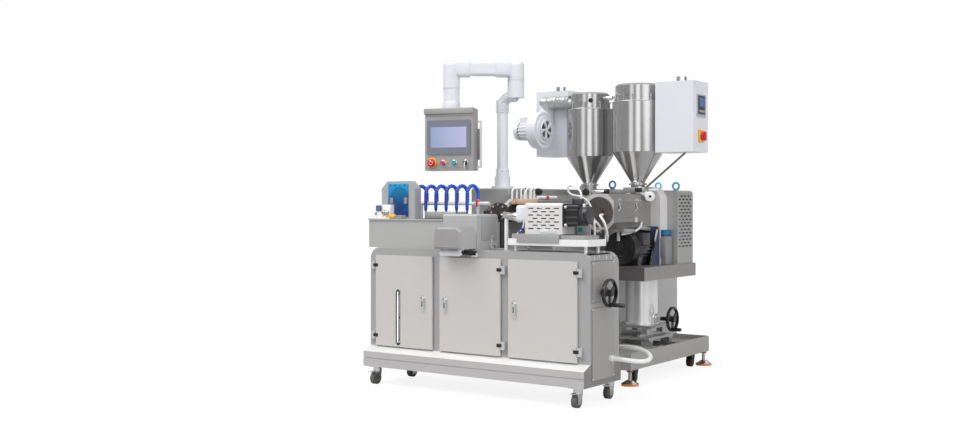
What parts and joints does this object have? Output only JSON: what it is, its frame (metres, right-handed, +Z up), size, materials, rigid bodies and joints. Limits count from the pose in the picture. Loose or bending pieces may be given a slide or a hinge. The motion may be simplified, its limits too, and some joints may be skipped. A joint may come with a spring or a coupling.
{
  "type": "plastic extruder",
  "caption": "Tube extrusion unit: a cooling bench with doors, trough and cutter, a control pendant on an arm, and two hopper-fed extruders, one on a lift pedestal.",
  "frame": {"origin": "floor level under the middle of the whole machine's plan", "axes": "+Z up, +X to the right along the bench as seen from its doors, +Y from the bench's front back along the extruders"},
  "size_m": [1.8929, 2.65, 2.132],
  "materials": {
    "frame_grey": "satin grey",
    "skirt_grey": "satin light grey",
    "door_grey": "satin warm light grey",
    "sheet_steel": "brushed",
    "polished_steel": "polished",
    "dark_steel": "heat dulled",
    "white_paint": "smooth white",
    "black_paint": "satin black",
    "black_plastic": "matt black",
    "castor_rubber": "grey rubber",
    "cover_grey": "satin grey",
    "duct_grey": "matt grey",
    "blue_acrylic": "clear blue",
    "blue_hose": "glossy blue",
    "red_lever": "glossy red",
    "level_clear": "milky",
    "bezel_grey": "matt dark grey",
    "eye_blue": "light blue",
    "white_hose": "soft white",
    "stand_grey": "satin grey"
  },
  "bodies": {
    "line": {"bench_frame": "frame_grey", "bench_base": "skirt_grey", "level_tube": "level_clear", "end_panels": "door_grey", "castor_forks": "polished_steel", "castor_wheels": "castor_rubber", "water_trough": "sheet_steel", "vacuum_cover": "cover_grey", "motor_cover": "cover_grey", "exhaust_duct": "duct_grey", "cutter_housing": "sheet_steel", "cutter_window": "blue_acrylic", "gauge_head": "white_paint", "coolant_manifold": "white_paint", "valve_levers": "red_lever", "coolant_hoses": "blue_hose", "pump_table": "white_paint", "pump_drive_cover": "sheet_steel", "servo_motor": "black_paint", "pump_coupling": "white_paint", "die_head": "dark_steel", "control_cabinet": "sheet_steel", "pendant_post": "white_paint", "main_stand": "stand_grey", "main_hood": "sheet_steel", "main_barrel": "sheet_steel", "main_hopper": "polished_steel", "main_hopper_lid": "polished_steel", "lifting_eyes": "eye_blue", "main_dryer_box": "white_paint", "dryer_blower": "white_paint", "pedestal_base": "sheet_steel", "levelling_feet": "polished_steel", "conduit": "white_hose", "servo_cable": "white_hose"},
    "left_door": {"left_door": "door_grey"},
    "middle_door": {"middle_door": "door_grey"},
    "right_door": {"right_door": "door_grey"},
    "bench_wheel": {"bench_handwheel": "black_plastic"},
    "arm": {"pendant_arm": "white_paint"},
    "pendant": {"pendant_box": "sheet_steel", "pendant_controls": "bezel_grey"},
    "cross_slide": {"cross_saddle": "stand_grey"},
    "long_slide": {"long_saddle": "stand_grey", "lift_column": "polished_steel"},
    "lift_wheel": {"column_handwheel": "black_plastic"},
    "co_extruder": {"platform": "sheet_steel", "drive_motor": "black_paint", "barrel_bracket": "white_paint", "gear_hood": "sheet_steel", "slotted_guard": "sheet_steel", "hood_eye": "eye_blue", "barrel_cover": "sheet_steel", "nose_flange": "dark_steel", "feed_section": "sheet_steel", "hopper": "polished_steel", "hopper_lid": "polished_steel", "dryer_box": "white_paint", "left_hose": "white_hose", "right_hose": "white_hose"}
  },
  "joints": [
    {"name": "left_door_hinge", "type": "hinge", "parent": "line", "child": "left_door", "pos_m": [-0.8285, -1.2115, 0.541], "axis": [0, 0, -1], "range_deg": [0, 110]},
    {"name": "middle_door_hinge", "type": "hinge", "parent": "line", "child": "middle_door", "pos_m": [0.16458, -1.2115, 0.541], "axis": [0, 0, 1], "range_deg": [0, 110]},
    {"name": "right_door_hinge", "type": "hinge", "parent": "line", "child": "right_door", "pos_m": [0.6965, -1.2115, 0.541], "axis": [0, 0, 1], "range_deg": [0, 110]},
    {"name": "bench_wheel_turn", "type": "hinge", "parent": "line", "child": "bench_wheel", "pos_m": [0.82, -1.058, 0.649], "axis": [1, 0, 0], "continuous": true},
    {"name": "arm_swing", "type": "hinge", "parent": "line", "child": "arm", "pos_m": [-0.25, -0.425, 2.01], "axis": [0, 0, 1], "range_deg": [-45, 40]},
    {"name": "pendant_turn", "type": "hinge", "parent": "arm", "child": "pendant", "pos_m": [-0.60633, -0.67451, 1.96], "axis": [0, 0, 1], "range_deg": [-60, 60]},
    {"name": "cross_slide", "type": "slide", "parent": "line", "child": "cross_slide", "axis": [1, 0, 0], "range_m": [-0.015, 0.015]},
    {"name": "long_slide", "type": "slide", "parent": "cross_slide", "child": "long_slide", "axis": [0, 1, 0], "range_m": [-0.04, 0.06]},
    {"name": "lift_wheel_turn", "type": "hinge", "parent": "long_slide", "child": "lift_wheel", "pos_m": [0.602, 0.215, 0.379], "axis": [1, 0, 0], "continuous": true},
    {"name": "lift", "type": "slide", "parent": "long_slide", "child": "co_extruder", "axis": [0, 0, 1], "range_m": [0, 0.1]}
  ]
}
